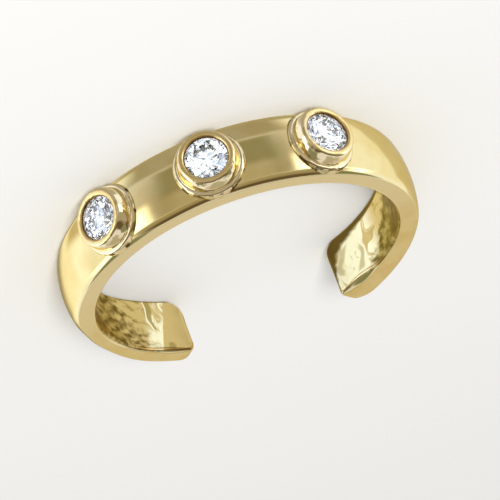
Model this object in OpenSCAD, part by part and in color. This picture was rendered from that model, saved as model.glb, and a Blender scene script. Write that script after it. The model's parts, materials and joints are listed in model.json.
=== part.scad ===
// Open toe ring: a domed band with a gap at the back, and three round cut stones in raised settings.
// All sizes are in millimetres. The ring lies on its side: its lower side face is the plane z = 0,
// the axis of the toe hole leaves that plane at the origin, and the middle stone faces -Y.

/* [Band] */
// Inner diameter of the band, measured across the toe hole
inner_d = 14.5; // [12:0.1:20]
// Thickness of the metal at the outer edges of the side faces
side_thickness = 0.93; // [0.7:0.01:1.8]
// Height of the dome's crown above the edges of the side faces
dome_rise = 0.26; // [0.1:0.01:0.5]
// Width of the band at its two ends
end_width = 2.76; // [2.2:0.01:3]
// Metal left between the flange of an outer setting and each side face
flange_margin = 0.01; // [0.01:0.01:0.5]
// Angle of each end face from the middle stone, round the axis of the toe hole
end_angle = 150.3; // [140:0.1:165]

/* [Arms] */
// Thickness that the left arm gains by its end
left_gain = 0.8; // [0:0.05:1]
// Thickness that the right arm gains by its end
right_gain = 0.1; // [0:0.05:1]

/* [Edges] */
// Bevel on the inner edges of the side faces
inner_bevel = 0.15; // [0.05:0.01:0.3]
// Bevel on the outer edges of the side faces
outer_bevel = 0.06; // [0.02:0.01:0.15]
// Radius of the lower corner of each end
lower_corner_r = 0.85; // [0.2:0.05:1.1]
// Radius of the upper corner of each end
upper_corner_r = 0.35; // [0.2:0.05:1.1]
// Radius of the outer edge of each end face
end_edge_r = 0.3; // [0.1:0.05:0.6]

/* [Stones] */
// Diameter of each stone at its girdle
stone_d = 2; // [1.5:0.1:2.8]
// Width of the table as a share of the girdle diameter
table_share = 0.57; // [0.5:0.01:0.65]
// Angle of the main crown facets from the girdle plane
crown_angle = 34.5; // [30:0.5:38]
// Angle of the main pavilion facets from the girdle plane
pavilion_angle = 40.75; // [38:0.25:43]
// Thickness of the girdle
girdle_thickness = 0.06; // [0.03:0.01:0.12]
// Angle between neighbouring stones, round the axis of the toe hole
stone_spacing = 36.5; // [30:0.5:50]
// Height of the top of the girdle above the crown of the band
stone_lift = 0.48; // [0.3:0.01:0.9]

/* [Settings] */
// Clearance between a stone and the metal of its seat
seat_clearance = 0.03; // [0.02:0.01:0.06]
// Wall of the cup beside the girdle
lip_wall = 0.2; // [0.15:0.01:0.4]
// Reach of the lip over the edge of the stone
lip_reach = 0.045; // [0.03:0.005:0.12]
// Height of the lip above its inner ledge
lip_height = 0.13; // [0.08:0.01:0.3]
// Bevel on the inner edge of the lip
lip_bevel = 0.065; // [0.03:0.005:0.1]
// Radius of the outer edge of the lip
lip_round = 0.1; // [0.05:0.01:0.12]
// Lean of the flank of the cup away from its axis
flank_lean = 14; // [5:1:25]
// Width of the ledge from the foot of the cup to the rim of the flange
flange_ledge = 0.19; // [0.18:0.01:0.4]
// Radius of the rolled rim of the flange
flange_roll = 0.085; // [0.05:0.005:0.09]
// Height of the rolled rim above the crown of the band
flange_lift = 0.01; // [0:0.01:0.1]

/* [Hidden] */
$fn = 96;

gold = [0.86, 0.72, 0.40];
clear_stone = [0.90, 0.95, 0.98];
overrun = 1;  // how far a cutter runs past the metal that it cuts
root_cover = 0.3;  // metal of the band between the toe hole and the root of a setting
corner_crossing = 0.02;  // how far the corner arcs pass outside a side face, to cross it cleanly
edge_crossing = 0.005;  // how far the arc of an end's outer edge passes outside the crown
arm_start = 90;  // the arms start at the widest place of the ring
end_overlap = 5;  // angle by which an arm runs past its end face before it is cut
star_share = 0.5;  // how far down the crown the star facets reach
lower_share = 0.78;  // how far down the pavilion the lower halves reach

// Heights in a setting are distances from the axis of the toe hole, along the axis of the setting
inner_r = inner_d / 2;
side_r = inner_r + side_thickness;
crown_r = side_r + dome_rise;
mid_r = inner_r + side_thickness / 2;

stone_r = stone_d / 2;
girdle_top = crown_r + stone_lift;
girdle_bottom = girdle_top - girdle_thickness;

// Height of the seat's wall at a radius, held clear of the crown facets and of the pavilion facets
function over_crown(r) = girdle_top + (stone_r - r) * tan(crown_angle) + seat_clearance / cos(crown_angle);
function under_pavilion(r) =
    girdle_bottom - (stone_r - r) * tan(pavilion_angle) - seat_clearance / cos(pavilion_angle);

ledge_r = stone_r - lip_reach;
ledge_top = over_crown(ledge_r);
lip_top = ledge_top + lip_height;
seat_r = stone_r + seat_clearance;
lip_r = seat_r + lip_wall;
lip_centre = [lip_r - lip_round, lip_top - lip_round];
shoulder = lip_centre + lip_round * [cos(flank_lean), sin(flank_lean)];
roll_top = crown_r + flange_lift;
roll_centre_h = roll_top - flange_roll;
foot_r = shoulder.x + (shoulder.y - roll_centre_h) * tan(flank_lean);
flange_r = foot_r + flange_ledge;
setting_root = inner_r + root_cover;

// The side faces are planes that lean towards each other, so that the band narrows to its ends
end_half_w = end_width / 2;
side_slope = (flange_r + flange_margin - end_half_w) / (mid_r * (cos(stone_spacing) - cos(end_angle)));
side_lean = atan(side_slope);
centre_half_w = end_half_w - side_slope * mid_r * cos(end_angle);
widest_half_w = max(centre_half_w + side_slope * mid_r, end_half_w);
dome_r = (pow(widest_half_w, 2) + pow(dome_rise, 2)) / (2 * dome_rise);

// The outside of an arm turns about an axis of its own, set behind the axis of the toe hole, so that its
// wider circle leaves the crown of the band smoothly at the start of the arm and thickens it to the end.
// The distance between the two axes is rounded to a hundredth.
arm_angle = end_angle - arm_start;
function arm_shift(gain) =
    round(50 * (pow(crown_r + gain, 2) - pow(crown_r, 2))
        / (crown_r - (crown_r + gain) * cos(arm_angle))) / 100;

// Distance of an arm's crown from the axis of the toe hole, at a distance before its end face
function crown_before_end(gain, distance) =
    sqrt(pow(crown_r + arm_shift(gain), 2) - pow(distance + arm_shift(gain) * sin(arm_angle), 2))
    - arm_shift(gain) * cos(arm_angle);

// Turns a piece made at the front of the ring, facing -Y, to an angle round the toe hole
module round_ring(angle) rotate([0, 0, angle]) children();

// Stands a piece made along +Z on the front of the ring, with its height measured from the axis
module facing_out(angle) round_ring(angle) rotate([90, 0, 0]) children();

// Carries a cutter made on the plane z = 0 to both side faces, its +Z pointing out of the metal
module both_sides() {
    for (flip = [0, 1])
        mirror([0, 0, flip]) translate([0, 0, centre_half_w]) rotate([-side_lean, 0, 0]) children();
}

// Moves a piece from the axis of the toe hole to the axis of the right arm's outside
module on_arm_axis(shift) round_ring(arm_start) translate([0, shift, 0]) children();

// Lays the finished ring on its lower side face
module lying() rotate([-side_lean, 0, 0]) translate([0, 0, centre_half_w]) children();

// Domed section from the axis that it turns about, which lies behind the toe hole's axis by the shift
module dome_section(shift) {
    intersection() {
        translate([0, -widest_half_w - overrun]) square([crown_r + shift, 2 * (widest_half_w + overrun)]);
        translate([crown_r + shift - dome_r, 0]) circle(dome_r);
    }
}

// Cuts a side of the band flat, and bevels the inner edge of that face with a cone of 45 degrees
module side_cutter() {
    reach = crown_r + 3 * overrun;
    edge_r = inner_r + inner_bevel;
    translate([-reach, -reach, 0]) cube([2 * reach, 2 * reach, 2 * overrun]);
    translate([0, 0, -overrun]) cylinder(r1 = edge_r - overrun, r2 = edge_r, h = overrun);
}

// Bevels the outer edge of a side face with a cone of 45 degrees about the axis of that outside
module outer_edge_cutter(shift) {
    edge_r = side_r + shift - outer_bevel;
    translate([0, 0, -overrun]) difference() {
        cylinder(r = edge_r + 3 * overrun, h = overrun);
        cylinder(r1 = edge_r + overrun, r2 = edge_r, h = overrun);
    }
}

// Outline to cut from a corner: a quarter round whose centre is the origin, corner towards +X +Y
module corner_outline(radius) {
    difference() {
        square(radius + overrun);
        circle(radius);
    }
}

// Rounds one corner of an end, seen from outside the ring with the gap towards +X and the corner up
module end_corner_cutter(radius, gain) {
    rotate([90, 0, 0])
        translate([-radius, end_half_w + corner_crossing - radius, inner_r - overrun])
            linear_extrude(crown_r + gain - inner_r + 2 * overrun) corner_outline(radius);
}

// Cuts an arm off at its end face, the plane x = 0, and rounds the corners and outer edge of that face
module end_cutter(gain) {
    outer_r = crown_r + gain + overrun;
    cut_half_w = widest_half_w + 2 * overrun;
    edge_centre_r = crown_before_end(gain, end_edge_r) + edge_crossing - end_edge_r;
    translate([0, -outer_r, -cut_half_w]) cube([inner_r, outer_r, 2 * cut_half_w]);
    end_corner_cutter(upper_corner_r, gain);
    mirror([0, 0, 1]) end_corner_cutter(lower_corner_r, gain);
    translate([-end_edge_r, -edge_centre_r, -cut_half_w])
        mirror([0, 1, 0]) linear_extrude(2 * cut_half_w) corner_outline(end_edge_r);
}

// The even part of the band, as a solid sector from one arm to the other
module middle_sector() {
    difference() {
        rotate_extrude(angle = 2 * arm_start, start = -90 - arm_start) dome_section(0);
        both_sides() outer_edge_cutter(0);
    }
}

// The right arm, as a solid sector that starts where the middle sector stops
module arm_sector(gain) {
    shift = arm_shift(gain);
    difference() {
        on_arm_axis(shift) rotate_extrude(angle = arm_angle + end_overlap, start = -90) dome_section(shift);
        both_sides() on_arm_axis(shift) outer_edge_cutter(shift);
        round_ring(end_angle) end_cutter(gain);
    }
}

module band_blank() {
    difference() {
        union() {
            middle_sector();
            arm_sector(right_gain);
            mirror([1, 0, 0]) arm_sector(left_gain);
        }
        cylinder(r = inner_r, h = 2 * (widest_half_w + 2 * overrun), center = true);
        both_sides() side_cutter();
    }
}

// Cup with a rounded lip on a flange with a rolled rim, drawn as radius against height
module setting_section() {
    polygon([
        [0, setting_root],
        [foot_r, setting_root],
        [foot_r, roll_centre_h],
        shoulder,
        [lip_centre.x, lip_top],
        [0, lip_top]
    ]);
    translate(lip_centre) circle(lip_round);
    translate([0, setting_root]) square([flange_r, roll_centre_h - setting_root]);
    translate([flange_r - flange_roll, roll_centre_h]) circle(flange_roll);
}

// Room for a stone: bevelled mouth, undercut for the girdle, and a cone round the pavilion
module seat_section() {
    polygon([
        [0, lip_top + overrun],
        [ledge_r + lip_bevel, lip_top + overrun],
        [ledge_r + lip_bevel, lip_top],
        [ledge_r, ledge_top],
        [seat_r, over_crown(seat_r)],
        [seat_r, under_pavilion(seat_r)],
        [0, under_pavilion(0)]
    ]);
}

module band() {
    color(gold) lying() difference() {
        union() {
            band_blank();
            for (place = [-1:1]) facing_out(place * stone_spacing) rotate_extrude() setting_section();
        }
        for (place = [-1:1]) facing_out(place * stone_spacing) rotate_extrude() seat_section();
    }
}

// Round brilliant as the convex shape round the corners of its facets, girdle top at z = 0
module brilliant() {
    step = 45;
    table_r = table_share * stone_r;
    star_r = stone_r + star_share * (table_r - stone_r);
    lower_r = (1 - lower_share) * stone_r;
    crown_h = (stone_r - table_r) * tan(crown_angle);
    star_h = (stone_r - star_r * cos(step / 2)) * tan(crown_angle);
    lower_h = -girdle_thickness - (stone_r - lower_r * cos(step / 2)) * tan(pavilion_angle);
    corners = [
        for (a = [0:step:359]) each [
            [table_r * cos(a), table_r * sin(a), crown_h],
            [star_r * cos(a + step / 2), star_r * sin(a + step / 2), star_h],
            [lower_r * cos(a + step / 2), lower_r * sin(a + step / 2), lower_h]
        ],
        for (a = [0:step / 2:359]) each [
            [stone_r * cos(a), stone_r * sin(a), 0],
            [stone_r * cos(a), stone_r * sin(a), -girdle_thickness]
        ],
        [0, 0, -girdle_thickness - stone_r * tan(pavilion_angle)]
    ];
    hull() polyhedron(corners, [[for (i = [0:len(corners) - 1]) i]]);
}

module stone(place) {
    color(clear_stone) lying() facing_out(place * stone_spacing) translate([0, 0, girdle_top]) brilliant();
}

module stone_left() stone(-1);
module stone_middle() stone(0);
module stone_right() stone(1);

band();
stone_left();
stone_middle();
stone_right();
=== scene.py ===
import json
from math import asin, atan2, cos, degrees, pi, radians, sin, sqrt, tan
import bmesh
import bpy
from mathutils import Matrix, Vector, noise


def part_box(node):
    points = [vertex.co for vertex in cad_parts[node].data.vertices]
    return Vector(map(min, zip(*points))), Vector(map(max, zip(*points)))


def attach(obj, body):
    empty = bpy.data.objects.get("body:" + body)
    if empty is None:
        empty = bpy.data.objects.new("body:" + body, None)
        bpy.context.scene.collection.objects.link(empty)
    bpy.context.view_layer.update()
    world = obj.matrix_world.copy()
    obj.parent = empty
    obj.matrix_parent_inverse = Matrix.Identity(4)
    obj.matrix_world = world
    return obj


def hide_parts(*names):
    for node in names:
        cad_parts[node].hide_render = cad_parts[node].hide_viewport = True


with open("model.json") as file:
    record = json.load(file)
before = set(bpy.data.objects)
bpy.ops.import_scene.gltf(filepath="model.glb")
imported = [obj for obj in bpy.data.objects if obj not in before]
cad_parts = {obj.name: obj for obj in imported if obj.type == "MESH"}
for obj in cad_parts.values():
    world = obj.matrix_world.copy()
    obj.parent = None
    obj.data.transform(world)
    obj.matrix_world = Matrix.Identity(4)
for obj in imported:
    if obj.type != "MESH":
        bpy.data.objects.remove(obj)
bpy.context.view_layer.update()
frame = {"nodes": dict(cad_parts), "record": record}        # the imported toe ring: band, stone_left, stone_middle, stone_right
print("frame loaded")

# Lengths in the dictionaries are millimetres and angles are degrees. Angles round the ring start at the
# middle stone, which faces -Y, and grow towards +X. Heights are measured from the middle of the band.
mm = 0.001

toeHole = next(mount for mount in frame["record"]["mounts"] if mount["name"] == "toe_hole")
holeAxis = Vector(toeHole["axis"])
lean = atan2(holeAxis.y, holeAxis.z)        # the ring lies on one side face, so its axis leans a little
sideSlope = tan(lean)
innerRadius = toeHole["dims"]["r_mm"]
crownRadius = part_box("band")[1].x / mm

band = {
    "halfWidth": 1.492,        # half the width beside the toe hole; it is wider in front, narrower behind
    "endAngle": 150.3,
    "endMiddle": 0.465,        # from the inner wall to the middle of an end
    "domeRadius": 5.183,
    "innerEdge": 0.15,        # leg of the bevels between the inner wall and the side faces
    "edgeRound": 0.98,        # share of the leg that is the radius of their rounding
    "shoulder": 0.55,        # the dome turns down in a wide rounding, then in a small one to the side face
    "shoulderEnd": 50,        # slope at which the small one takes over
    "outerEdge": 0.08,
    "wallWaves": 0.03,        # unevenness of the inner wall, which was filed by hand
    "waveSize": (7, 0.7),        # degrees round the ring and millimetres up the wall
    "armStart": 90,        # where the arms begin to thicken
    "thinPlace": (82, 99, 110, 134),        # where an arm begins to thin, is thinnest, and is full again
    "filedPlace": (125, 139, 140, 152),        # and the same for the filing of its upper inner edge
    "stations": 250,        # rings of points along the band
    "endStations": 20,        # rings of points over each rounded end
    "domeSteps": 36,
    "wallSteps": 16,
    "wallMargin": 0.02,        # share of the wall between its first points and its edges
    "sideShares": (0.04, 0.3, 0.7, 0.96),        # points across a side face
    "capInset": 0.03,        # width of the ring of faces round the flat of each end
    "sharpAngle": 28,        # edges that turn further than this stay sharp
}
# -1 is the arm at -X, which thickens to its end; 1 is the arm at +X, which is thinner half way along.
# The upper inner edge is filed wider before the ends, and flatter in the arm at -X. The corners are the
# roundings of an end seen from outside; the end faces' roundings lead into the dome and the inner wall.
arms = {
    -1: {"gain": 0.8, "thinBy": 0, "innerEdge": 0.15, "filedEdge": 0.36, "filedFlat": 0.4,
         "upperCorner": 0.15, "lowerCorner": 0.85, "endFace": 0.95, "endFaceInner": 0.25},
    1: {"gain": 0.1, "thinBy": 0.19, "innerEdge": 0.28, "filedEdge": 0.26, "filedFlat": 0,
        "upperCorner": 0.42, "lowerCorner": 1.0, "endFace": 0.60, "endFaceInner": 0.25},
}
setting = {
    "spacing": 36.5,
    "root": 7.55,        # heights from the toe hole's axis
    "rimPlace": 1.445,        # the flange's rim is a soft roll; its centre's distance from the setting's axis
    "rimRadius": 0.15,
    "grooveRadius": 0.05,        # hollow between the rim and the cup
    "footHeight": 8.50,
    "flankLean": 21,        # lean of the flank where the lip starts; it is upright at its foot
    "lipCentre": (1.135, 8.937),        # the lip is a thick round roll from its flank over to the stone
    "lipRadius": 0.18,
    "ledge": (0.955, 8.987),        # radius and height of the edge that holds the stone
    "seatWall": (1.03, 8.936, 8.846),        # radius, top and bottom of the groove for the girdle
    "seatBottom": 7.959,
    "steps": 128,        # faces round each setting
}

ringPlace = Matrix.Rotation(-lean, 4, "X") @ Matrix.Translation((0, 0, band["halfWidth"]))
endRadius = innerRadius + band["endMiddle"]


def toMetres(bm):
    bmesh.ops.transform(bm, matrix=Matrix.Scale(mm, 4) @ ringPlace, verts=bm.verts[:])


def asPiece(bm, name):
    mesh = bpy.data.meshes.new(name)
    bm.to_mesh(mesh)
    bm.free()
    piece = bpy.data.objects.new(name, mesh)
    bpy.context.scene.collection.objects.link(piece)
    return piece


def onArc(centre, radius, start, end, steps):
    turns = [radians(start + (end - start) * i / steps) for i in range(steps + 1)]
    return [(centre[0] + radius * cos(t), centre[1] + radius * sin(t)) for t in turns]


def between(a, b, shares):
    return [(a[0] + (b[0] - a[0]) * s, a[1] + (b[1] - a[1]) * s) for s in shares]


def ease(value, start, end):
    # 0 before start, 1 after end, smooth in between
    share = min(max((value - start) / (end - start), 0), 1)
    return share * share * (3 - 2 * share)


def within(away, place):
    # 0 outside a place, 1 in its middle
    return ease(away, *place[:2]) - ease(away, *place[2:])


def cornerTrim(radius, distance):
    # how far a rounded corner falls back, at a distance from the end
    reach = radius - distance
    return radius - sqrt(radius ** 2 - reach ** 2) if reach > 0 else 0


def armGrowth(gain, away):
    # the outside of an arm follows a wider circle, whose axis lies beyond the toe hole's and which leaves
    # the band smoothly
    if away < band["armStart"]:
        return 0
    full, turn = radians(band["endAngle"] - band["armStart"]), radians(away - band["armStart"])
    outer = crownRadius + gain
    shift = (outer ** 2 - crownRadius ** 2) / (2 * (crownRadius - outer * cos(full)))
    return sqrt((crownRadius + shift) ** 2 - (shift * sin(turn)) ** 2) - shift * cos(turn) - crownRadius


def softBevel(inner, top, leg, radius):
    # corner between the inner wall and a side face, cut at 45 degrees and rounded on both sides of the cut
    wallTurn = onArc((inner + radius, top - leg), radius, 180, 135, 4)
    sideTurn = onArc((inner + leg, top - radius), radius, 135, 90, 4)
    return wallTurn + sideTurn


def outerCorner(domeCentre, sideHeight):
    # arcs from the side face over to the dome, and the slope at which they meet it
    shoulder, edge, steep = band["shoulder"], band["outerEdge"], radians(band["shoulderEnd"])
    spine = band["domeRadius"] - shoulder
    tilt = asin((sideHeight - edge - (shoulder - edge) * sin(steep)) / spine)
    centre = (domeCentre + spine * cos(tilt), spine * sin(tilt))
    edgeCentre = (centre[0] + (shoulder - edge) * cos(steep), centre[1] + (shoulder - edge) * sin(steep))
    edgeArc = onArc(edgeCentre, edge, 90, band["shoulderEnd"], 3)
    shoulderArc = onArc(centre, shoulder, band["shoulderEnd"], degrees(tilt), 7)
    return edgeArc + shoulderArc[1:], degrees(tilt)


def wavyWall(bottom, top, angle):
    # points up the inner wall, whose waves fade towards its edges
    margin, steps = band["wallMargin"], band["wallSteps"]
    waveLength, waveHeight = band["waveSize"]
    shares = [margin] + [i / steps for i in range(1, steps)] + [1 - margin]
    wall = []
    for (radius, height), share in zip(between(bottom, top, shares), shares):
        wave = 0.5 + 0.5 * noise.noise(Vector((angle / waveLength, height / waveHeight, 0)))
        fade = ease(share, margin, 0.2) * ease(share, 1 - margin, 0.8)
        wall.append((radius + band["wallWaves"] * wave * fade, height))
    return wall


def bandSection(angle):
    # section of the band as (radius, height), from the bottom of the inner wall up and round
    arm, away = arms[1 if angle > 0 else -1], abs(angle)
    toEnd = max(radians(band["endAngle"] - away) * endRadius, 0)
    thinned, filed = within(away, band["thinPlace"]), within(away, band["filedPlace"])
    plainEdge = band["innerEdge"] + (arm["innerEdge"] - band["innerEdge"]) * thinned
    filedEdge = plainEdge + (arm["filedEdge"] - band["innerEdge"]) * filed
    inner = innerRadius + cornerTrim(arm["endFaceInner"], toEnd)
    fallBack = cornerTrim(arm["endFace"], toEnd) + arm["thinBy"] * thinned - armGrowth(arm["gain"], away)
    domeCentre = crownRadius - band["domeRadius"] - fallBack

    def halfSection(corner, leg):
        # from the inner wall over a side face to the dome, and the slope at which it meets the dome
        def halfWidth(radius):
            return band["halfWidth"] + sideSlope * radius * cos(radians(angle)) - cornerTrim(corner, toEnd)

        rounding = leg * (band["edgeRound"] - arm["filedFlat"] * filed)
        innerArc = softBevel(inner, halfWidth(inner + leg), leg, rounding)
        outerArc, tilt = outerCorner(domeCentre, halfWidth(crownRadius - fallBack))
        return innerArc + between(innerArc[-1], outerArc[0], band["sideShares"]) + outerArc, tilt

    upper, upTilt = halfSection(arm["upperCorner"], filedEdge)
    lower, downTilt = halfSection(arm["lowerCorner"], plainEdge)
    lower = [(radius, -height) for radius, height in lower]
    dome = onArc((domeCentre, 0), band["domeRadius"], upTilt, -downTilt, band["domeSteps"])[1:-1]
    return wavyWall(lower[0], upper[0], angle) + upper + dome + lower[::-1]


def bandStations():
    # angles of the rings of points: close together over the rounded ends, even in between
    reach = max(arm["lowerCorner"] for arm in arms.values())
    distances = [reach * (1 - cos(pi / 2 * i / band["endStations"])) for i in range(band["endStations"])]
    left = [degrees(distance / endRadius) - band["endAngle"] for distance in distances]
    start = degrees(reach / endRadius) - band["endAngle"]
    middle = [start * (1 - 2 * i / band["stations"]) for i in range(band["stations"] + 1)]
    return left + middle + [-angle for angle in reversed(left)]


def makeBand():
    # a disc at one end is spun round to the other; then every point goes to its place in its ring's section
    stations = bandStations()
    sections = [bandSection(angle) for angle in stations]
    steps = len(stations) - 1
    bm = bmesh.new()
    place = bm.verts.layers.int.new("place")
    disc = bmesh.ops.create_circle(bm, cap_ends=True, segments=len(sections[0]), radius=0.5)
    for i, vert in enumerate(disc["verts"]):
        vert[place] = i
    stand = Matrix.Rotation(radians(-band["endAngle"]), 4, "Z") @ Matrix.Translation((0, -innerRadius, 0))
    bmesh.ops.transform(bm, matrix=stand @ Matrix.Rotation(pi / 2, 4, "Y"), verts=bm.verts[:])
    bmesh.ops.spin(bm, geom=bm.verts[:] + bm.edges[:] + bm.faces[:], cent=(0, 0, 0), axis=(0, 0, 1),
                   angle=radians(2 * band["endAngle"]), steps=steps, use_merge=False, use_duplicate=False)
    for vert in bm.verts:
        turn = degrees(atan2(vert.co.x, -vert.co.y))
        station = round((turn + band["endAngle"]) / (2 * band["endAngle"]) * steps)
        radius, height = sections[station][vert[place]]
        angle = radians(stations[station])
        vert.co = Vector((radius * sin(angle), -radius * cos(angle), height))
    bmesh.ops.recalc_face_normals(bm, faces=bm.faces[:])
    caps = [face for face in bm.faces if len(face.verts) > 4]
    bmesh.ops.inset_individual(bm, faces=caps, thickness=band["capInset"], use_even_offset=True)
    toMetres(bm)
    return asPiece(bm, "goldBand")


lipRoll = onArc(setting["lipCentre"], setting["lipRadius"], setting["flankLean"], 90, 14)
flankHeight = lipRoll[0][1] - setting["footHeight"]
footRadius = lipRoll[0][0] + flankHeight * tan(radians(setting["flankLean"] / 2))
flangeRadius = setting["rimPlace"] + setting["rimRadius"]


def settingOutline():
    # from the axis out to the flange's rim, over it into the groove, then up the flank to the lip
    s = setting
    across = footRadius + s["grooveRadius"] - s["rimPlace"]
    rise = sqrt((s["rimRadius"] + s["grooveRadius"]) ** 2 - across ** 2)
    meet = degrees(atan2(rise, across))
    rim = onArc((s["rimPlace"], s["footHeight"] - rise), s["rimRadius"], 0, meet, 14)
    groove = onArc((footRadius + s["grooveRadius"], s["footHeight"]), s["grooveRadius"], meet + 180, 180, 8)
    bulge = flankHeight / sin(radians(s["flankLean"]))
    flank = onArc((footRadius - bulge, s["footHeight"]), bulge, 0, s["flankLean"], 8)
    return [(0, s["root"]), (flangeRadius, s["root"]),
            *rim, *groove[1:-1], *flank[:-1], *lipRoll, (0, lipRoll[-1][1])]


def seatOutline():
    # from above the stone down inside the lip, under its ledge into the girdle's groove, then to the bottom
    s = setting
    ledgeLean = asin((s["ledge"][1] - s["lipCentre"][1]) / s["lipRadius"])
    mouth = onArc(s["lipCentre"], s["lipRadius"], 90, 180 - degrees(ledgeLean), 10)
    wall, wallTop, wallBottom = s["seatWall"]
    above = mouth[0][1] + 1
    return [(0, above), (mouth[0][0], above), *mouth, s["ledge"],
            (wall, wallTop), (wall, wallBottom), (0, s["seatBottom"])]


def turned(outline, angles):
    # solids of revolution from an outline of (radius, height), one standing on the ring at each angle
    bm = bmesh.new()
    for angle in angles:
        start = len(bm.verts)
        verts = [bm.verts.new((radius, 0, height)) for radius, height in outline]
        edges = [bm.edges.new(pair) for pair in zip(verts, verts[1:])]
        bmesh.ops.spin(bm, geom=verts + edges, cent=(0, 0, 0), axis=(0, 0, 1), angle=2 * pi,
                       steps=setting["steps"], use_merge=True, use_duplicate=False)
        bm.verts.ensure_lookup_table()
        stand = Matrix.Rotation(radians(angle), 4, "Z") @ Matrix.Rotation(pi / 2, 4, "X")
        bmesh.ops.transform(bm, matrix=stand, verts=bm.verts[start:])
    bmesh.ops.remove_doubles(bm, verts=bm.verts[:], dist=1e-5)
    bmesh.ops.recalc_face_normals(bm, faces=bm.faces[:])
    toMetres(bm)
    return asPiece(bm, "turned")


def combine(piece, tool, operation):
    change = piece.modifiers.new("combine", "BOOLEAN")
    change.object, change.operation, change.solver = tool, operation, "EXACT"
    bpy.context.view_layer.objects.active = piece
    bpy.ops.object.modifier_apply(modifier="combine")
    bpy.data.objects.remove(tool)


places = [-setting["spacing"], 0, setting["spacing"]]
goldRing = makeBand()
print("band made:", len(goldRing.data.polygons), "faces")
combine(goldRing, turned(settingOutline(), places), "UNION")
combine(goldRing, turned(seatOutline(), places), "DIFFERENCE")
goldRing.name = "goldRing"
goldRing.data.shade_smooth()
goldRing.data.set_sharp_from_angle(angle=radians(band["sharpAngle"]))
print("settings soldered on:", len(goldRing.data.polygons), "faces")


class Wire:
    # an output of a node; a sum or product of wires adds the Math nodes that work it out
    def __init__(self, sheet, socket):
        self.sheet, self.socket = sheet, socket

    def __add__(self, other):
        return self.sheet.maths("ADD", self, other)

    def __radd__(self, other):
        return self.sheet.maths("ADD", other, self)

    def __sub__(self, other):
        return self.sheet.maths("SUBTRACT", self, other)

    def __rsub__(self, other):
        return self.sheet.maths("SUBTRACT", other, self)

    def __mul__(self, other):
        return self.sheet.maths("MULTIPLY", self, other)

    def __rmul__(self, other):
        return self.sheet.maths("MULTIPLY", other, self)

    def __truediv__(self, other):
        return self.sheet.maths("DIVIDE", self, other)


class Sheet:
    # the nodes of one material, or of the world
    def __init__(self, owner):
        owner.use_nodes = True
        self.nodes, self.links = owner.node_tree.nodes, owner.node_tree.links
        self.nodes.clear()

    def add(self, kind, settings, sockets, output=0):
        node = self.nodes.new("ShaderNode" + kind)
        for name, value in settings.items():
            setattr(node, name, value)
        for name, value in sockets.items():
            if isinstance(value, Wire):
                self.links.new(value.socket, node.inputs[name])
            else:
                node.inputs[name].default_value = value
        if isinstance(output, tuple):
            return [Wire(self, node.outputs[name]) for name in output]
        return Wire(self, node.outputs[output]) if node.outputs else node

    def maths(self, operation, *values):
        return self.add("Math", {"operation": operation}, dict(enumerate(values)))

    def greater(self, a, b):
        return self.maths("MAXIMUM", a, b)

    def mix(self, a, b, factor):
        return self.add("Mix", {"data_type": "RGBA"}, {0: factor, 6: a, 7: b}, 2)

    def paint(self, colour, *coats):
        # each coat is a colour and the mask that it covers the coats below with
        for coat, mask in coats:
            colour = self.mix(colour, coat, mask)
        return colour

    def ease(self, value, start, end):
        # 0 up to start, 1 from end on; start may be the greater one
        return self.add("MapRange", {"interpolation_type": "SMOOTHSTEP"},
                        {"Value": value, "From Min": start, "From Max": end})

    def strip(self, value, middle, half, soft):
        # 1 within half of the middle, 0 beyond half and soft
        return self.ease(self.maths("ABSOLUTE", value - middle), half + soft, half)

    def noise(self, scale, detail, *place):
        at = self.add("CombineXYZ", {}, dict(enumerate(place)))
        return self.add("TexNoise", {}, {"Vector": at, "Scale": scale, "Detail": detail})

    def position(self, kind="Object"):
        return self.add("SeparateXYZ", {}, {0: self.add("TexCoord", {}, {}, kind)}, (0, 1, 2))


def ringPosition(sheet):
    # millimetres in the band's own frame, where the toe hole's axis is upright and the middle plane is at 0
    x, y, z = sheet.position()
    height = (y * sin(lean) + z * cos(lean)) / mm - band["halfWidth"]
    return x / mm, (y * cos(lean) - z * sin(lean)) / mm, height


def fromSettingAxis(sheet, x, y, height):
    # distance from the axis of the nearest setting
    squares = []
    for place in places:
        across = x * cos(radians(place)) + y * sin(radians(place))
        squares.append(across * across + height * height)
    nearest = sheet.maths("MINIMUM", sheet.maths("MINIMUM", squares[0], squares[1]), squares[2])
    return sheet.maths("SQRT", nearest)


# The inner wall's colours are painted reflections: dark mottled shade half way along each arm and bright
# streaks before its end. A place is an angle from the middle stone and a height, and a size is half a mark's
# length and half its height.
wallLook = {
    "brown": (0.13, 0.08, 0.014, 1),
    "olive": (0.38, 0.29, 0.08, 1),
    "tan": (0.62, 0.46, 0.17, 1),
    "cream": (0.98, 0.92, 0.58, 1),
    "burnt": (0.38, 0.21, 0.05, 1),        # painted shade: a thin orange-brown line along the upper edge's rounding
    "blotScale": 3.0,
    "bendScale": 1.3,
    "streakScale": 1.9,
    "markedFrom": (55, 85),        # the wall behind the settings is plain
    "brightFrom": (130, 118),        # where the painted bright streaks of reflection start in the arms at +X and -X
    "brightLean": 2.7,
    "tarnishEnd": (125, 117),        # where the painted dark mottling of shade stops in the arms at +X and -X, half way up the wall
    "tarnishLean": (6.5, 12),        # and how that place leans, in degrees for each millimetre of height
    "darkPlace": (104, 0.95),        # where the painted shade is darkest in the arm at -X
    "darkSize": (1.1, 0.42),
    "swirlPlace": (139.5, 0.25),        # a painted swirl of reflection in the arm at -X
    "swirlSize": (0.62, 0.62),
    "plainFrom": 139.4,        # the end of the arm at +X is plain from here
    "plainLean": -2.7,
    "foldPlace": 135.2,        # a painted dark line of shade that crosses the arm at +X from its lower edge to its middle
    "spotPlace": (140.6, 1.08),
    "spotSize": (0.26, 0.26),
}


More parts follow.
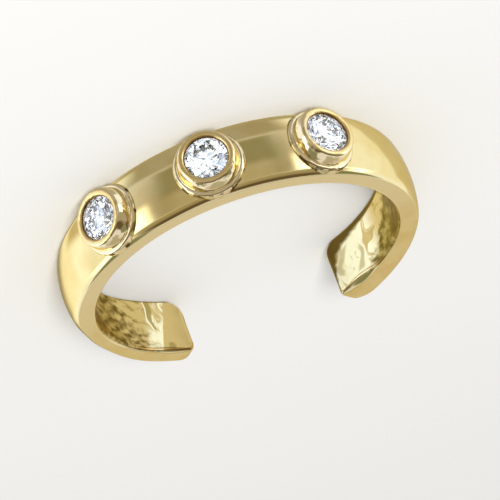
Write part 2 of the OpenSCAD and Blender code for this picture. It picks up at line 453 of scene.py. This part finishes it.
class InnerWall:
    # paints the inner wall with painted reflections and painted shade; along is the angle from the middle
    # stone, and bend makes the marks wander
    def __init__(self, sheet, turn, height, depth, rise):
        angle = turn * (180 / pi)
        self.sheet, self.height, self.depth, self.rise = sheet, height, depth, rise
        self.along = sheet.maths("ABSOLUTE", angle)
        self.around = turn * innerRadius
        self.leftArm = sheet.ease(angle, 1, -1)
        self.rightArm = 1 - self.leftArm
        self.blots = sheet.noise(wallLook["blotScale"], 5, self.around * 0.6, height, 1)
        self.bend = sheet.noise(wallLook["bendScale"], 0, self.around, height, 7) - 0.5

    def colour(self):
        colour = self.reflectionStreaks()
        for mark in (self.swirl, self.plainEnd, self.mottledShade, self.darkLines):
            colour = mark(colour)
        return self.sheet.mix(wallLook["tan"], colour, self.sheet.ease(self.along, *wallLook["markedFrom"]))

    def fromPlace(self, place, size):
        # how far along and up from a place, and how far in all, 1 on the ellipse of that size
        perDegree = innerRadius * pi / 180
        across = (self.along - place[0]) * (perDegree / size[0])
        upward = (self.height - place[1]) * (1 / size[1])
        return across, upward, self.sheet.maths("SQRT", across * across + upward * upward)

    def reflectionStreaks(self):
        # painted reflections: mottled half way along, with bright streaks that wander across the wall before
        # the ends
        sheet, look = self.sheet, wallLook
        streaks = sheet.noise(look["streakScale"], 2, self.around + self.bend * 2, self.height * 0.4, 6)
        streaks = streaks + 0.12 * sheet.ease(self.height, 0.1, 0.5)
        bright = sheet.mix(look["tan"], look["cream"], sheet.ease(streaks, 0.40, 0.56))
        mottled = sheet.mix(look["olive"], look["tan"], sheet.ease(self.blots, 0.34, 0.52))
        start, leftStart = look["brightFrom"]
        shine = sheet.ease(self.along + self.height * look["brightLean"] + self.bend * 6, start, start + 5)
        leftShine = self.leftArm * sheet.ease(self.along, leftStart, leftStart + 12)
        return sheet.mix(mottled, bright, sheet.greater(shine, leftShine))

    def swirl(self, colour):
        # painted reflection: a pale oval with a soft darker band on two sides and a few thin strokes
        sheet, look = self.sheet, wallLook
        across, upward, reach = self.fromPlace(look["swirlPlace"], look["swirlSize"])
        reach = reach + self.bend * 1.2
        sideways = sheet.maths("ABSOLUTE", across * 0.9 - upward * 0.45)
        bands = sheet.strip(reach, 1.2, 0.14, 0.22) * sheet.ease(sideways, 0.5, 0.95)
        strokes = sheet.strip(sheet.maths("SINE", (across - upward + self.bend * 5) * 5), 1, 0.02, 0.10)
        strokes = strokes * sheet.ease(reach, 0.8, 0.5) * sheet.ease(self.blots, 0.46, 0.54)
        return sheet.paint(
            colour, (look["cream"], sheet.ease(reach, 1.9, 1.3) * self.leftArm * 0.8),
            (look["olive"], (bands * 0.6 + strokes * 0.8) * self.leftArm))

    def plainEnd(self, colour):
        # painted reflection: plain tan behind a painted dark line of shade, which narrows upwards and has a
        # painted highlight (a gleam) beside it, and a small painted dark spot
        sheet, look = self.sheet, wallLook
        fromPlain = self.along - self.height * look["plainLean"] - look["plainFrom"] + self.bend * 0.8
        fromShadeLine = self.along + self.bend * 4 - look["foldPlace"]
        shadeLineWidth = sheet.ease(self.height, 0.3, -0.9)
        shadeLineReach = sheet.ease(self.height, 0.35, 0.1) * self.rightArm
        shadeLine = sheet.ease(sheet.maths("ABSOLUTE", fromShadeLine) - shadeLineWidth, 0.5, 0.1) * shadeLineReach
        gleam = sheet.strip(fromShadeLine + shadeLineWidth, -0.8, 0.2, 0.3) * shadeLineReach
        spot = sheet.ease(self.fromPlace(look["spotPlace"], look["spotSize"])[2], 1, 0.5) * self.rightArm
        return sheet.paint(
            colour, (look["tan"], sheet.ease(fromPlain, -0.3, 0.3) * self.rightArm),
            (look["cream"], gleam), (look["olive"], sheet.greater(shadeLine, spot) * 0.9))

    def mottledShade(self, colour):
        # painted shade: dark mottling half way along each arm, which ends at a slanting edge
        sheet, look = self.sheet, wallLook
        (end, leftEnd), (slant, leftSlant) = look["tarnishEnd"], look["tarnishLean"]
        edge = self.along - self.height * (slant + self.leftArm * (leftSlant - slant))
        edge = edge - self.leftArm * (leftEnd - end)
        lightest = sheet.mix(look["tan"], look["olive"], self.leftArm)
        mottled = sheet.mix(look["brown"], lightest, sheet.ease(self.blots, 0.34, 0.68))
        return sheet.mix(colour, mottled, sheet.ease(edge + self.blots * 16 - 8, end + 3, end - 5))

    def darkLines(self, colour):
        # painted shade: a dark corner and a dark spot in the arm at -X, dark lines along the lower edge and
        # the ends, and a thin orange-brown line along the upper edge
        sheet, look = self.sheet, wallLook
        toEnd = (band["endAngle"] - self.along) * (innerRadius * pi / 180)
        corner = sheet.ease((self.height + 1.3) * (toEnd + 0.12) + (self.blots - 0.5) * 0.4, 0.85, 0.45)
        fromSpot = self.fromPlace(look["darkPlace"], look["darkSize"])[2] + (self.blots - 0.5) * 0.8
        dark = sheet.greater(corner, sheet.ease(fromSpot, 1.2, 0.7)) * self.leftArm
        lowerEdge = sheet.ease(self.height, -0.5, -1) * sheet.ease(self.depth, 0.16, 0.08)
        lines = sheet.greater(lowerEdge, sheet.ease(toEnd, 0.10, 0.05))
        upperEdge = sheet.strip(self.rise, 0.03, 0.015, 0.015) * sheet.ease(self.depth, 0.42, 0.36)
        upperEdge = upperEdge * sheet.ease(self.height, 0, 0.5) * sheet.ease(self.along, 118, 128)
        return sheet.paint(
            colour, (look["brown"], sheet.greater(dark, lines * 0.8)), (look["burnt"], upperEdge * 0.6))


goldLook = {
    "pale": (0.93, 0.80, 0.41, 1),
    "deep": (0.86, 0.69, 0.30, 1),
    "warm": (1.0, 0.77, 0.35, 1),        # the lips of the settings, tinted warmer as a painted reflection of the gold round them
    "bright": (0.98, 0.86, 0.56, 1),        # paler on their flanks and flanges
    "shade": (0.26, 0.13, 0.025, 1),        # the foot of the lip's inside, next to the stone
    "worn": (0.96, 0.86, 0.52, 1),        # rubbed bright along the edges
    "grime": (0.16, 0.10, 0.035, 1),        # painted shade in patches along the creases where the flanges meet the dome
    "seat": (0.95, 0.94, 0.90, 1),        # bright-cut metal under the stones
    "rimTint": (0.84, 0.74, 0.50, 1),        # where the surface turns away
    "polished": 0.07,        # roughness of the outside
    "lipSatin": 0.27,
    "sideSatin": 0.24,
    "wallSatin": 0.16,
    "waves": 0.010,        # millimetres of unevenness left by the polishing wheel
    "wallWaves": 0.020,
    "solderWaves": 0.038,        # on the flanges and flanks
    "scratches": 0.0004,
    "patchScale": 2.6,        # of the painted crease shade and the solder's waves
    "cloudScale": 0.7,
}


def settingMasks(sheet, x, y, height, radius):
    # each mask is 1 on one part of the settings and 0 elsewhere
    away = fromSettingAxis(sheet, x, y, height)
    alongAxis = sheet.maths("SQRT", radius * radius + height * height - away * away)
    front = sheet.ease(y, -1, -3) * sheet.ease(radius, innerRadius + 0.35, innerRadius + 0.55)
    lipMiddle, seatWall, seatTop = setting["lipCentre"][0], setting["seatWall"][0], setting["ledge"][1]
    seat = sheet.ease(away, seatWall + 0.02, seatWall + 0.01)
    return {
        "crease": front * sheet.strip(away, flangeRadius, 0.01, 0.045),
        "cup": front * sheet.ease(away, flangeRadius + 0.02, flangeRadius - 0.02),
        "lip": front * sheet.ease(away, lipMiddle + 0.16, lipMiddle + 0.04),
        "lipTop": front * sheet.ease(away, lipMiddle + 0.14, lipMiddle + 0.02),
        "lipFoot": front * sheet.ease(away, lipMiddle - 0.11, lipMiddle - 0.15),
        "seat": front * seat * sheet.ease(alongAxis, seatTop + 0.013, seatTop - 0.007),
    }


def makeGold():
    look = goldLook
    material = bpy.data.materials.new("gold")
    sheet = Sheet(material)
    x, y, height = ringPosition(sheet)
    radius = sheet.maths("SQRT", x * x + y * y)
    turn = sheet.maths("ARCTAN2", x, 0 - y)
    depth = band["halfWidth"] - sideSlope * y - sheet.maths("ABSOLUTE", height)        # below a side face
    side = sheet.ease(depth, 0.03, 0.006)
    edge = sheet.ease(depth, 0.2, 0.04) * (1 - side)
    wallReach = innerRadius + 0.11 + 0.28 * sheet.ease(height, 0, -0.5)        # wider at the lower bevel
    wall = sheet.ease(radius - wallReach, 0.05, -0.05) * (1 - side)
    masks = settingMasks(sheet, x, y, height, radius)
    cup, lip, seat = masks["cup"], masks["lip"], masks["seat"]
    # painted shade in patches along the crease round each flange
    patches = sheet.ease(sheet.noise(look["patchScale"], 3, x, y, height), 0.5, 0.62)
    grime = masks["crease"] * patches * (1 - side)

    clouds = sheet.noise(look["cloudScale"], 4, x, y, height)
    # the inner wall's colour is painted reflection and painted shade
    wallColour = InnerWall(sheet, turn, height, depth, radius - innerRadius).colour()
    colour = sheet.mix(look["pale"], look["deep"], sheet.ease(clouds, 0.3, 0.7))
    # besides the edges, the side faces are paler towards the front
    colour = sheet.paint(
        colour, (look["worn"], edge * 0.6), (look["worn"], side * sheet.ease(y, 3, -4)),
        (look["bright"], cup), (look["warm"], lip * (1 - 0.5 * sheet.ease(clouds, 0.45, 0.7))),
        (look["shade"], masks["lipFoot"]), (wallColour, wall), (look["seat"], seat), (look["grime"], grime))

    around = turn * 8        # millimetres round the ring, near enough
    hairlines = sheet.noise(1, 3, around * 0.6, height * 22, radius * 22) * (1 - 0.9 * side) * (1 - cup)
    roughness = look["polished"]
    lipTop = masks["lipTop"] * (1 - seat)
    for mask, satin in ((side, "sideSatin"), (wall, "wallSatin"), (lipTop, "lipSatin")):
        roughness = roughness + mask * (look[satin] - look["polished"])
    roughness = roughness + 0.06 * sheet.ease(hairlines, 0.5, 0.75) + 0.04 * clouds + 0.3 * grime

    waves = sheet.noise(0.8, 1.5, x, y, height * 0.6)
    wallWaves = sheet.noise(1, 2, around * 0.55, height * 1.3, radius)
    solderWaves = sheet.noise(look["patchScale"], 1, x, y, height)
    relief = waves * look["waves"] * (1 - wall) + wallWaves * wall * look["wallWaves"]
    relief = relief + hairlines * look["scratches"] + solderWaves * cup * look["solderWaves"]
    bump = sheet.add("Bump", {}, {"Height": relief, "Distance": mm, "Strength": 1.0})
    shader = sheet.add("BsdfPrincipled", {}, {"Base Color": colour, "Metallic": 1.0, "Roughness": roughness,
                                              "Specular Tint": look["rimTint"], "Normal": bump})
    sheet.add("OutputMaterial", {}, {"Surface": shader})
    return material


goldRing.data.materials.append(makeGold())
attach(goldRing, "root")
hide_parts("band")
print("gold finished")

stoneLook = {
    "clear": (1.0, 1.0, 1.0, 1),
    "cool": (0.90, 0.95, 1.0, 1),
    "girdle": 0.35,        # roughness of the ground edge; the facets are polished
    "girdleRadius": 0.985,
    "refraction": 2.42,
}


def makeStone():
    look = stoneLook
    material = bpy.data.materials.new("stone")
    sheet = Sheet(material)
    x, y, height = ringPosition(sheet)
    away = fromSettingAxis(sheet, x, y, height)
    ground = sheet.ease(away, look["girdleRadius"] - 0.01, look["girdleRadius"])
    tone = sheet.ease(sheet.noise(1.5, 2, x, y, height), 0.4, 0.65)
    shader = sheet.add("BsdfPrincipled", {}, {
        "Base Color": sheet.mix(look["clear"], look["cool"], tone), "Roughness": ground * look["girdle"],
        "IOR": look["refraction"], "Transmission Weight": 1.0})
    sheet.add("OutputMaterial", {}, {"Surface": shader})
    return material


stoneMaterial = makeStone()
for name in ("stone_left", "stone_middle", "stone_right"):
    for materialSlot in frame["nodes"][name].material_slots:
        materialSlot.material = stoneMaterial
print("stones finished")

studio = {
    "azimuth": -0.2,
    "elevation": 26.1,        # above the band's middle plane
    "roll": 159.6,
    "distance": 164.0,
    "lens": 258.3,
    "sensor": 36,
    "clip": (0.005, 20),        # metres
    "aimRight": 0.523,        # the point aimed at, beside and above the toe hole's centre in the picture
    "aimUp": -0.331,
}


def makeCamera():
    azimuth, elevation, roll = (radians(studio[key]) for key in ("azimuth", "elevation", "roll"))
    back = Vector((sin(azimuth) * cos(elevation), -cos(azimuth) * cos(elevation), sin(elevation)))
    level = Vector((cos(azimuth), sin(azimuth), 0))
    upright = back.cross(level)
    right = cos(roll) * level + sin(roll) * upright
    up = cos(roll) * upright - sin(roll) * level
    aim = studio["aimRight"] * right + studio["aimUp"] * up
    eye = studio["distance"] * back
    back = (eye - aim).normalized()
    right = up.cross(back).normalized()
    up = back.cross(right)
    turn = Matrix((right, up, back)).transposed().to_4x4()
    data = bpy.data.cameras.new("camera")
    data.lens, data.sensor_width = studio["lens"], studio["sensor"]
    data.clip_start, data.clip_end = studio["clip"]
    camera = bpy.data.objects.new("camera", data)
    place = ringPlace @ Matrix.Translation(eye) @ turn
    place.translation *= mm
    camera.matrix_world = place
    bpy.context.scene.collection.objects.link(camera)
    bpy.context.scene.camera = camera


floorLook = {
    "dull": (0.90, 0.89, 0.86, 1),
    "pale": (0.92, 0.91, 0.88, 1),
    "grainScale": 60,
    "size": 1,        # metres from its middle to its edges
}


def makeFloor():
    look = floorLook
    bm = bmesh.new()
    bmesh.ops.create_grid(bm, x_segments=1, y_segments=1, size=look["size"])
    floor = asPiece(bm, "floor")
    material = bpy.data.materials.new("floor")
    sheet = Sheet(material)
    paper = sheet.mix(look["dull"], look["pale"], sheet.noise(look["grainScale"], 3, *sheet.position()))
    sheet.add("OutputMaterial", {}, {"Surface": sheet.add("BsdfDiffuse", {}, {"Color": paper})})
    floor.data.materials.append(material)
    floor.visible_glossy = False        # the metal and the stones see the studio's panels below them instead
    floor.visible_transmission = False


lights = {
    "floorLight": (0.62, 0.62, 0.62, 1),        # even light on the floor
    "backdrop": (0.99, 0.98, 0.95, 1),
    "keyPower": 0.72,
    "keyFrom": (-0.04, -0.26, 0.18),
    "keySize": 0.09,
    "room": (1.02, 1.04, 1.10, 1),        # what the metal sees where no panel hangs
    "bounces": 24,        # light crosses a cut stone many times before it comes out
    "glossyBounces": 12,
}
# Panels hung round the ring, each over the ones before it. Azimuth 0 is in front of the middle stone and
# grows towards +X; elevation is above the horizon. Each gives its span, the softness of its edges and its
# colour. One for both sides hangs at -X too. A panel with a lean has slanting ends, which move by that share
# of a degree for each degree of elevation.
allRound = 400        # an azimuth past the back, so that a panel that reaches it has no edge there
panels = [
    # above and below
    {"azimuth": (-allRound, allRound), "elevation": (42, 95), "soft": (5, 10),
     "colour": (0.80, 0.77, 0.80, 1)},
    {"azimuth": (-allRound, allRound), "elevation": (-95, -54), "soft": (5, 6),
     "colour": (0.46, 0.42, 0.36, 1)},
    # behind and at the sides: the side face, the arms' domes and the bevel before their ends
    {"azimuth": (100, 150), "elevation": (-60, 10), "soft": (10, 8), "colour": (1.20, 1.24, 1.42, 1)},
    {"azimuth": (150, allRound), "elevation": (12, 40), "soft": (10, 6), "colour": (0.70, 0.63, 0.58, 1),
     "bothSides": True},
    {"azimuth": (150, allRound), "elevation": (38, 84), "soft": (10, 4), "colour": (0.46, 0.42, 0.32, 1),
     "bothSides": True},
    {"azimuth": (60, 102), "elevation": (2, 26), "soft": (6, 4), "colour": (2.2, 2.2, 2.3, 1),
     "bothSides": True},
    {"azimuth": (66, 130), "elevation": (28, 60), "soft": (6, 3), "colour": (0.24, 0.24, 0.15, 1),
     "bothSides": True},
    {"azimuth": (150, allRound), "elevation": (-50, 0), "soft": (10, 8), "colour": (0.44, 0.41, 0.33, 1)},
    {"azimuth": (-allRound, -138), "elevation": (-60, 10), "soft": (3, 4), "colour": (0.74, 0.70, 0.62, 1),
     "lean": -0.53},
    {"azimuth": (-allRound, -168), "elevation": (-60, 0), "soft": (6, 8), "colour": (0.44, 0.41, 0.33, 1)},
    # in front: the dome between the settings, its highlights beside them, and its turn to the side face
    {"azimuth": (-62, 62), "elevation": (-95, -40), "soft": (10, 1), "colour": (0.42, 0.39, 0.35, 1)},
    {"azimuth": (-62, 62), "elevation": (-41, 6), "soft": (14, 0.6), "colour": (0.68, 0.66, 0.72, 1)},
    {"azimuth": (-46, 38), "elevation": (-39, 4), "soft": (10, 0.8), "colour": (0.31, 0.29, 0.21, 1)},
    {"azimuth": (-40, 34), "elevation": (-13, 8), "soft": (14, 4), "colour": (0.50, 0.46, 0.40, 1)},
    {"azimuth": (45, 66), "elevation": (-15, 4), "soft": (5, 4), "colour": (2.5, 2.5, 2.6, 1)},
    {"azimuth": (-68, -50), "elevation": (-15, 4), "soft": (5, 4), "colour": (2.5, 2.5, 2.6, 1)},
    {"azimuth": (-88, 64), "elevation": (8, 62), "soft": (8, 4), "colour": (0.40, 0.35, 0.26, 1)},
    {"azimuth": (-88, 64), "elevation": (36, 66), "soft": (8, 12), "colour": (0.12, 0.08, 0.04, 1)},
    {"azimuth": (98, 132), "elevation": (-50, -34), "soft": (6, 3), "colour": (0.70, 0.64, 0.52, 1)},
]
# What the stones see instead: small panels, most of them white
sparkle = {
    "white": (1.6, 1.6, 1.6, 1),
    "blue": (0.78, 0.92, 1.15, 1),
    "lilac": (0.42, 0.42, 0.54, 1),
    "navy": (0.02, 0.045, 0.08, 1),
    "scale": 1.7,
    "blueScale": 2.21,
    "navyPlace": (-27, -13),        # azimuth and elevation of the middle of the darkest panel
    "navySize": (8, 9),        # half its width and half its height
}


def hangPanel(sheet, seen, panel, azimuth, elevation):
    # what is seen so far, with the panel in front of it
    mask = 1
    across = azimuth - elevation * panel["lean"] if "lean" in panel else azimuth
    for value, span, soft in zip((across, elevation), ("azimuth", "elevation"), panel["soft"]):
        start, end = panel[span]
        mask = mask * sheet.ease(value, start - soft, start + soft)
        mask = mask * sheet.ease(value, end + soft, end - soft)
    return sheet.mix(seen, panel["colour"], mask)


def sparklePanels(sheet, x, y, z, azimuth, elevation):
    s = sparkle
    spots = sheet.noise(s["scale"], 1, x, y, z)
    others = sheet.noise(s["blueScale"], 1, y + 7, z, x)
    across = sheet.strip(azimuth, s["navyPlace"][0], s["navySize"][0], 2)
    upward = sheet.strip(elevation, s["navyPlace"][1], s["navySize"][1], 2)
    navy = sheet.greater(sheet.ease(spots, 0.64, 0.65), across * upward)
    facets = sheet.mix(s["white"], s["blue"], sheet.ease(others, 0.55, 0.60))
    return sheet.paint(facets, (s["lilac"], sheet.ease(spots, 0.60, 0.62)), (s["navy"], navy))


def makeStudio():
    world = bpy.data.worlds.new("studio")
    bpy.context.scene.world = world
    sheet = Sheet(world)
    x, y, z = sheet.position("Generated")
    azimuth = sheet.maths("ARCTAN2", x, 0 - y) * (180 / pi)
    elevation = sheet.maths("ARCSINE", z) * (180 / pi)
    seen = lights["room"]
    for panel in panels:
        seen = hangPanel(sheet, seen, panel, azimuth, elevation)
        if "bothSides" in panel:
            seen = hangPanel(sheet, seen, panel, 0 - azimuth, elevation)

    camera, glossy, through = sheet.add(
        "LightPath", {}, {}, ("Is Camera Ray", "Is Glossy Ray", "Is Transmission Ray"))
    facets = sparklePanels(sheet, x, y, z, azimuth, elevation)
    colour = sheet.paint(
        lights["floorLight"], (seen, glossy), (facets, through), (lights["backdrop"], camera))
    sheet.add("OutputWorld", {}, {"Surface": sheet.add("Background", {}, {"Color": colour})})


def makeKeyLight():
    lamp = bpy.data.lights.new("key", "AREA")
    lamp.energy, lamp.size = lights["keyPower"], lights["keySize"]
    key = bpy.data.objects.new("key", lamp)
    key.location = lights["keyFrom"]
    key.rotation_euler = Vector(lights["keyFrom"]).to_track_quat("Z", "Y").to_euler()
    key.visible_glossy = key.visible_transmission = False        # it only throws the shadow
    bpy.context.scene.collection.objects.link(key)


makeCamera()
makeFloor()
makeStudio()
makeKeyLight()
bpy.context.scene.view_settings.view_transform = "Standard"
paths = bpy.context.scene.cycles
paths.max_bounces = paths.transmission_bounces = lights["bounces"]
paths.glossy_bounces = lights["glossyBounces"]
print("studio lit")
